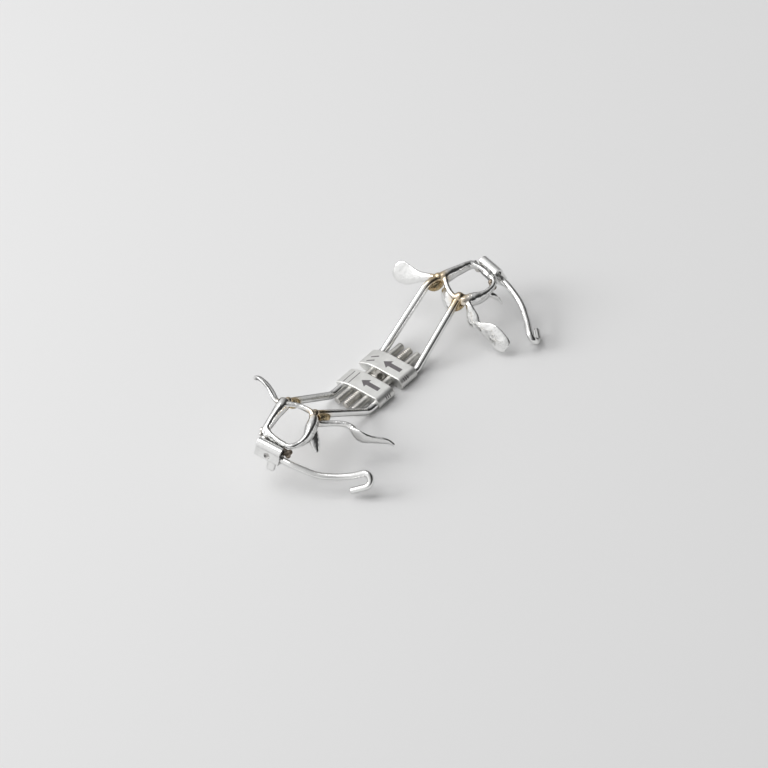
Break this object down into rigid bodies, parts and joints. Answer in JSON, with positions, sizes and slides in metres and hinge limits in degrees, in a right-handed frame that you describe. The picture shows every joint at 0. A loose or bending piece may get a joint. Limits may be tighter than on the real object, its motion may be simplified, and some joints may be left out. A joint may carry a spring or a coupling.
{
  "type": "palatal expander",
  "caption": "Fixed palatal expander: a jack screw between housing halves, wire arms to cast tooth frames, and buccal tubes with forward hooks.",
  "frame": {"origin": "centre of the screw's hub, where the two key holes cross", "axes": "+X across the palate to the right, along the screw; +Y to the back of the mouth; +Z to the biting side, square to the housing's flat faces"},
  "size_m": [0.061, 0.0315, 0.0121],
  "materials": {
    "housing_steel": "satin",
    "rod_steel": "ground",
    "wire_steel": "polished",
    "cast_alloy": "polished casting",
    "tube_steel": "polished",
    "gold_solder": "fused"
  },
  "bodies": {
    "left_side": {"left_body_half": "housing_steel", "left_front_arm": "wire_steel", "left_rear_arm": "wire_steel", "left_tooth_frame": "cast_alloy", "left_buccal_tube": "tube_steel", "left_tube_weld": "cast_alloy", "left_hook_wire": "wire_steel", "left_front_solder": "gold_solder", "left_rear_solder": "gold_solder"},
    "guide_pins": {"front_guide_pin": "rod_steel", "rear_guide_pin": "rod_steel"},
    "spindle": {"spindle": "rod_steel"},
    "right_side": {"right_body_half": "housing_steel", "right_front_arm": "wire_steel", "right_rear_arm": "wire_steel", "right_tooth_frame": "cast_alloy", "right_buccal_tube": "tube_steel", "right_tube_weld": "cast_alloy", "right_hook_wire": "wire_steel", "right_front_solder": "gold_solder", "right_rear_solder": "gold_solder"}
  },
  "joints": [
    {"name": "guide_slide", "type": "slide", "parent": "left_side", "child": "guide_pins", "axis": [1, 0, 0], "range_m": [0, 0.0055]},
    {"name": "spindle_turn", "type": "hinge", "parent": "guide_pins", "child": "spindle", "pos_m": [0, 0, 0], "axis": [-1, 0, 0], "range_deg": [0, 4960]},
    {"name": "right_slide", "type": "slide", "parent": "guide_pins", "child": "right_side", "axis": [1, 0, 0], "range_m": [0, 0.0055]}
  ],
  "couplings": [
    {"joint": "spindle_turn", "follows": "guide_slide", "rad_per_m": 15708},
    {"joint": "right_slide", "follows": "guide_slide", "ratio": 1}
  ]
}
